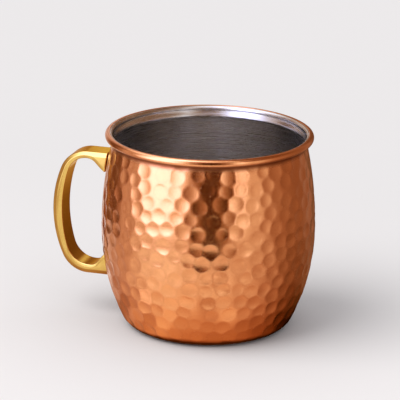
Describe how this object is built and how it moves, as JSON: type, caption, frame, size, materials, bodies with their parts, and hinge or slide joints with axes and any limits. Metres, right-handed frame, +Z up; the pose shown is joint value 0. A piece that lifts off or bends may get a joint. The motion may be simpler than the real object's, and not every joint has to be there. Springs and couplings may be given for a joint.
{
  "type": "mug",
  "caption": "Barrel-shaped hammered copper drinking mug with a rolled rim, a steel lining and a brazed brass strap handle.",
  "frame": {"origin": "centre of the flat base, on the mug's axis, where the mug stands", "axes": "+Z up along the mug's axis; the handle points along -X and lies in the XZ plane; +Y is square to the handle"},
  "size_m": [0.1201, 0.096, 0.089],
  "materials": {
    "copper": "hand-hammered and polished copper, lacquered",
    "steel": "satin stainless steel",
    "brass": "polished cast brass",
    "braze": "darkened brazing filler"
  },
  "bodies": {
    "root": {"copper_shell": "copper", "steel_liner": "steel", "brass_handle": "brass", "upper_braze": "braze", "lower_braze": "braze"}
  },
  "joints": []
}
